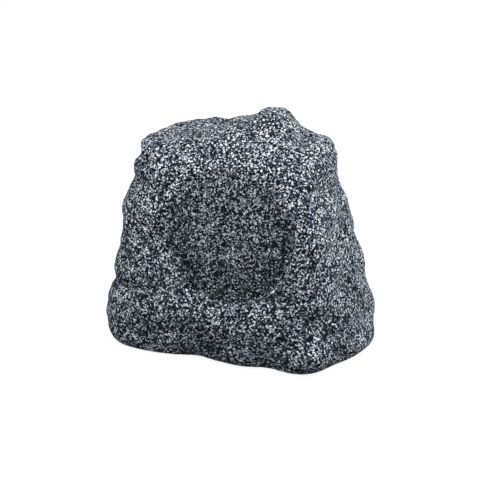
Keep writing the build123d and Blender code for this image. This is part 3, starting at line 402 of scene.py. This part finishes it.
# Moving parts of the driver: a moulded cone on a foil former with a copper coil,
# held by a corrugated ring of treated cloth. The tabs take the leads, and the dome plays the treble.
moulded_cone = clouded(
    "moulded_cone", (0.016, 0.016, 0.018), (0.034, 0.034, 0.037), 160.0, 900.0, 0.45, 0.0001
)
dress(moulded_cone, "cone")
coil_foil = clouded("coil_foil", (0.52, 0.52, 0.53), (0.7, 0.7, 0.71), 200.0, 1500.0, 0.35, 0.00004, 1.0)
dress(coil_foil, "coil_former")
coil_copper = wound_wire("coil_copper", 900.0, (math.pi / 2 - driver_tilt, 0, 0))
dress(coil_copper, "coil_winding")
brass_tabs = clouded(
    "brass_tabs", (0.55, 0.42, 0.2), (0.75, 0.63, 0.38), 300.0, 2000.0, 0.35, 0.00004, 1.0
)
dress(brass_tabs, "terminal_tabs")
dome_film = clouded("dome_film", (0.26, 0.26, 0.28), (0.38, 0.38, 0.41), 90.0, 1200.0, 0.3, 0.00004)
dress(dome_film, "tweeter_dome")


def woven(name, dark, light, threads_per_metre):
    """A plain weave: two crossed sets of threads."""
    material, shader, place = new_finish(name)
    threads = {"Vector": place, "Scale": threads_per_metre}
    across = place.node("TexWave", 0, threads, wave_type="BANDS", bands_direction="X")
    along = place.node("TexWave", 0, threads, wave_type="BANDS", bands_direction="Z")
    weave = across * along
    tint = place.node("Mix", 2, {0: weave, 6: (*dark, 1), 7: (*light, 1)}, data_type="RGBA")
    place.feed(shader.inputs["Base Color"], tint)
    bump = place.node("Bump", 0, {"Height": weave, "Strength": 0.8, "Distance": 0.0003})
    place.feed(shader.inputs["Normal"], bump)
    shader.inputs["Roughness"].default_value = 0.9
    return material


spider_cloth = woven("spider_cloth", (0.3, 0.2, 0.08), (0.62, 0.47, 0.25), 300.0)
dress(spider_cloth, "spider")

# Soft rings of the driver: the rubber surround and the cloth spider, which bend on the real driver as the
# cone moves.
# Each is cut into sectors round the driver's axis.
ring_sectors = 24
ring_crease = math.radians(35)
magnet_low, magnet_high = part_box("magnet")
axis_point = (magnet_low + magnet_high) / 2


def flexing_ring(name, finish):
    """Cuts a ring into capped sectors round the driver's axis, each an object of its own."""
    half = math.pi / ring_sectors
    for number in range(ring_sectors):
        turn = 2 * math.pi * number / ring_sectors
        sector_mesh = bmesh.new()
        sector_mesh.from_mesh(frame["nodes"][name].data)
        bmesh.ops.remove_doubles(sector_mesh, verts=sector_mesh.verts, dist=1e-6)
        for edge in (-half, half):
            along = Matrix.Rotation(turn + edge, 3, facing) @ Vector((1, 0, 0))
            bmesh.ops.bisect_plane(
                sector_mesh,
                geom=sector_mesh.verts[:] + sector_mesh.edges[:] + sector_mesh.faces[:],
                plane_co=axis_point,
                plane_no=facing.cross(along) * math.copysign(1, edge),
                clear_outer=True,
            )
        cut_edges = [side for side in sector_mesh.edges if side.is_boundary]
        bmesh.ops.holes_fill(sector_mesh, edges=cut_edges)
        sector_data = bpy.data.meshes.new("%s_sector" % name)
        sector_mesh.to_mesh(sector_data)
        sector_mesh.free()
        sector_data.shade_smooth()
        sector_data.set_sharp_from_angle(angle=ring_crease)
        sector = bpy.data.objects.new("%s_sector_%02d" % (name, number + 1), sector_data)
        bpy.context.scene.collection.objects.link(sector)
        sector.data.materials.append(finish)
        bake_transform(sector)
        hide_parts(name)


flexing_ring(
    "surround",
    black_rubber,
)
flexing_ring(
    "spider",
    spider_cloth,
)

# Cloth behind the grille: a thin black open weave.
# It keeps insects and rain off the driver and hides it behind the holes.
black_cloth = woven("black_cloth", (0.004, 0.004, 0.004), (0.016, 0.016, 0.017), 260.0)
dress(black_cloth, "grille_scrim")

# Grille: a shallow dome of finely perforated steel, sprayed with the same flecks as the stone.
# Its flat rim is bonded on a foam ring in the recess.
hole_pitch = 0.0025
hole_bar = 0.00060
grille_sides = 96
grille_thickness = 0.0012
grille_rim = 0.006
grille_rise = 0.007
dome_reach = recess_radius - grille_rim
dome_radius = (dome_reach**2 + grille_rise**2) / (2 * grille_rise)
cell_radius = hole_pitch / math.sqrt(3)
row_step = hole_pitch * math.sqrt(3) / 2

grille_mesh = bmesh.new()
row_count = int(recess_radius / row_step) + 2
for row in range(-row_count, row_count + 1):
    for column in range(-row_count, row_count + 1):
        cell = Vector(((column + row % 2 / 2) * hole_pitch, row * row_step, 0))
        if cell.length < recess_radius + hole_pitch:
            turned = Matrix.Translation(cell) @ Matrix.Rotation(math.radians(30), 4, "Z")
            bmesh.ops.create_circle(
                grille_mesh, cap_ends=True, segments=6, radius=cell_radius, matrix=turned
            )
bmesh.ops.remove_doubles(grille_mesh, verts=grille_mesh.verts, dist=cell_radius / 10)
hole_reach = dome_reach - hole_pitch
holes = [face for face in grille_mesh.faces if face.calc_center_median().length < hole_reach]
bmesh.ops.inset_individual(grille_mesh, faces=holes, thickness=hole_bar)
bmesh.ops.delete(grille_mesh, geom=holes, context="FACES_ONLY")
for side in range(grille_sides):
    turn = 2 * math.pi * side / grille_sides
    edge = Vector((math.cos(turn), math.sin(turn), 0))
    bmesh.ops.bisect_plane(
        grille_mesh,
        geom=grille_mesh.verts[:] + grille_mesh.edges[:] + grille_mesh.faces[:],
        plane_co=edge * recess_radius * math.cos(math.pi / grille_sides),
        plane_no=edge,
        clear_outer=True,
    )
for vertex in grille_mesh.verts:
    reach = min(vertex.co.xy.length, dome_reach)
    vertex.co.z = math.sqrt(dome_radius**2 - reach**2) - dome_radius + grille_rise
crown = max(frame["nodes"]["grille"].data.vertices, key=lambda v: v.co.dot(facing)).co.dot(facing)
grille_place = grille_middle + facing * (crown - grille_rise - grille_middle.dot(facing))
grille_turn = facing.to_track_quat("Z", "Y").to_matrix().to_4x4()
bmesh.ops.transform(
    grille_mesh, matrix=Matrix.Translation(grille_place) @ grille_turn, verts=grille_mesh.verts
)
bmesh.ops.recalc_face_normals(grille_mesh, faces=grille_mesh.faces)
if sum(face.normal.dot(facing) for face in grille_mesh.faces) < 0:
    bmesh.ops.reverse_faces(grille_mesh, faces=grille_mesh.faces)
painted_grille_data = bpy.data.meshes.new("painted_grille")
grille_mesh.to_mesh(painted_grille_data)
grille_mesh.free()
painted_grille = bpy.data.objects.new("painted_grille", painted_grille_data)
bpy.context.scene.collection.objects.link(painted_grille)
wall = painted_grille.modifiers.new("sheet", "SOLIDIFY")
wall.thickness = grille_thickness
wall.offset = -1.0
applied(painted_grille)

# Painted shade on the grille: a darker ring at its rim, as the recess's shadow, and a darker lower half.
rim_shade_share = 0.08
low_shade_share = 0.05
low_shade_top = grille_middle.z + 0.02


def painted_rim_shade(place):
    """Painted shade: darker flecks towards the grille's rim, where the recess shades it, and on its lower
    half, which faces down.
    """
    beside = place.node("VectorMath", "Value", {0: place, 1: grille_middle}, operation="DISTANCE")
    rim_span = {0: beside, 1: recess_radius / 2, 2: recess_radius}
    near_rim = place.node("MapRange", 0, rim_span, interpolation_type="SMOOTHSTEP")
    lower = 1.0 - rising(place, grille_low.z, low_shade_top)
    upper = rising(place, grille_middle.z, grille_high.z)
    return rim_shade_share * near_rim * (1.0 - upper) + low_shade_share * lower


granite_grille = granite(
    "granite_grille",
    fleck_size=0.0017,
    shades=(
        (0.0, (0.003, 0.004, 0.007, 1)),
        (0.45, (0.006, 0.009, 0.014, 1)),
        (0.59, (0.036, 0.045, 0.060, 1)),
        (0.74, (0.21, 0.242, 0.29, 1)),
        (0.87, (0.69, 0.75, 0.82, 1)),
        (1.0, (0.92, 0.94, 0.96, 1)),
    ),
    cloud_share=0.22,
    height=0.0006,
    # painted shade at the rim and on the lower half
    painted_shade=painted_rim_shade,
)
painted_grille.data.materials.append(granite_grille)
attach(painted_grille, "root")
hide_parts("grille")

# Studio: a white floor that keeps a soft shadow, a large lamp above the front, one behind on the right
# and a weak one low on the left, and a camera a little above the stone, to the right of its grille.
floor_size = 30.0
floor_lit = (0.92, 0.92, 0.92, 1)
floor_return = (0.14, 0.14, 0.14, 1)
floor_glow = 1.1
glow_share = 0.8
room_light = 0.6
floor_mesh = bmesh.new()
bmesh.ops.create_grid(floor_mesh, x_segments=1, y_segments=1, size=floor_size)
floor_data = bpy.data.meshes.new("floor")
floor_mesh.to_mesh(floor_data)
floor_mesh.free()
floor = bpy.data.objects.new("floor", floor_data)
bpy.context.scene.collection.objects.link(floor)
floor_paint, floor_shader, _ = new_finish("floor_paint")
floor_shader.inputs["Roughness"].default_value = 0.9


def seen_directly(tree):
    """A socket that is 1 for rays from the camera, mirrors and glass, and 0 for other light."""
    path = tree.nodes.new("ShaderNodeLightPath")
    straight = Socket(tree, path.outputs["Is Camera Ray"])
    mirrored = Socket(tree, path.outputs["Is Glossy Ray"])
    through = Socket(tree, path.outputs["Is Transmission Ray"])
    return straight.maths("MINIMUM", straight + mirrored + through, 1.0)


shown = seen_directly(floor_paint.node_tree)
floor_tint = shown.node("Mix", 2, {0: shown, 6: floor_return, 7: floor_lit}, data_type="RGBA")
shown.feed(floor_shader.inputs["Base Color"], floor_tint)
glow = shown.node("Emission", 0, {"Color": (1, 1, 1, 1), "Strength": floor_glow})
painted = Socket(shown.tree, floor_shader.outputs[0])
floor_mix = shown.node("MixShader", 0, {0: glow_share * shown, 1: painted, 2: glow})
shown.feed(floor_paint.node_tree.nodes["Material Output"].inputs["Surface"], floor_mix)
floor.data.materials.append(floor_paint)

world = bpy.data.worlds.new("white_room")
world.use_nodes = True
bpy.context.scene.world = world
room = world.node_tree.nodes["Background"]
shown = seen_directly(world.node_tree)
shown.feed(room.inputs["Strength"], room_light + (1.0 - room_light) * shown)
room.inputs["Color"].default_value = (1, 1, 1, 1)

lamp_size = 0.8
lamp_aim = Vector((0, 0, 0.18))


def lamp(name, place, watts):
    """A square soft lamp that looks at the middle of the stone."""
    light = bpy.data.lights.new(name, "AREA")
    light.size = lamp_size
    light.energy = watts
    holder = bpy.data.objects.new(name, light)
    holder.location = place
    holder.rotation_euler = (lamp_aim - Vector(place)).to_track_quat("-Z", "Y").to_euler()
    bpy.context.scene.collection.objects.link(holder)


lamp("key_lamp", (0.2, -0.6, 1.1), 10)
lamp("back_lamp", (1.25, 0.7, 0.6), 14)
lamp("fill_lamp", (-1.1, -0.8, 0.3), 2)

view_azimuth = math.radians(20)
view_elevation = math.radians(20)
view_distance = 1.5
view_target = Vector((0.0205, -0.097, 0.168))
view_back = Vector(
    (
        math.sin(view_azimuth) * math.cos(view_elevation),
        -math.cos(view_azimuth) * math.cos(view_elevation),
        math.sin(view_elevation),
    )
)
camera_data = bpy.data.cameras.new("camera")
camera_data.lens = 85
camera_data.sensor_width = 36
camera = bpy.data.objects.new("camera", camera_data)
camera.location = view_target + view_back * view_distance
camera.rotation_euler = view_back.to_track_quat("Z", "Y").to_euler()
bpy.context.scene.collection.objects.link(camera)
bpy.context.scene.camera = camera
bpy.context.scene.view_settings.view_transform = "Standard"
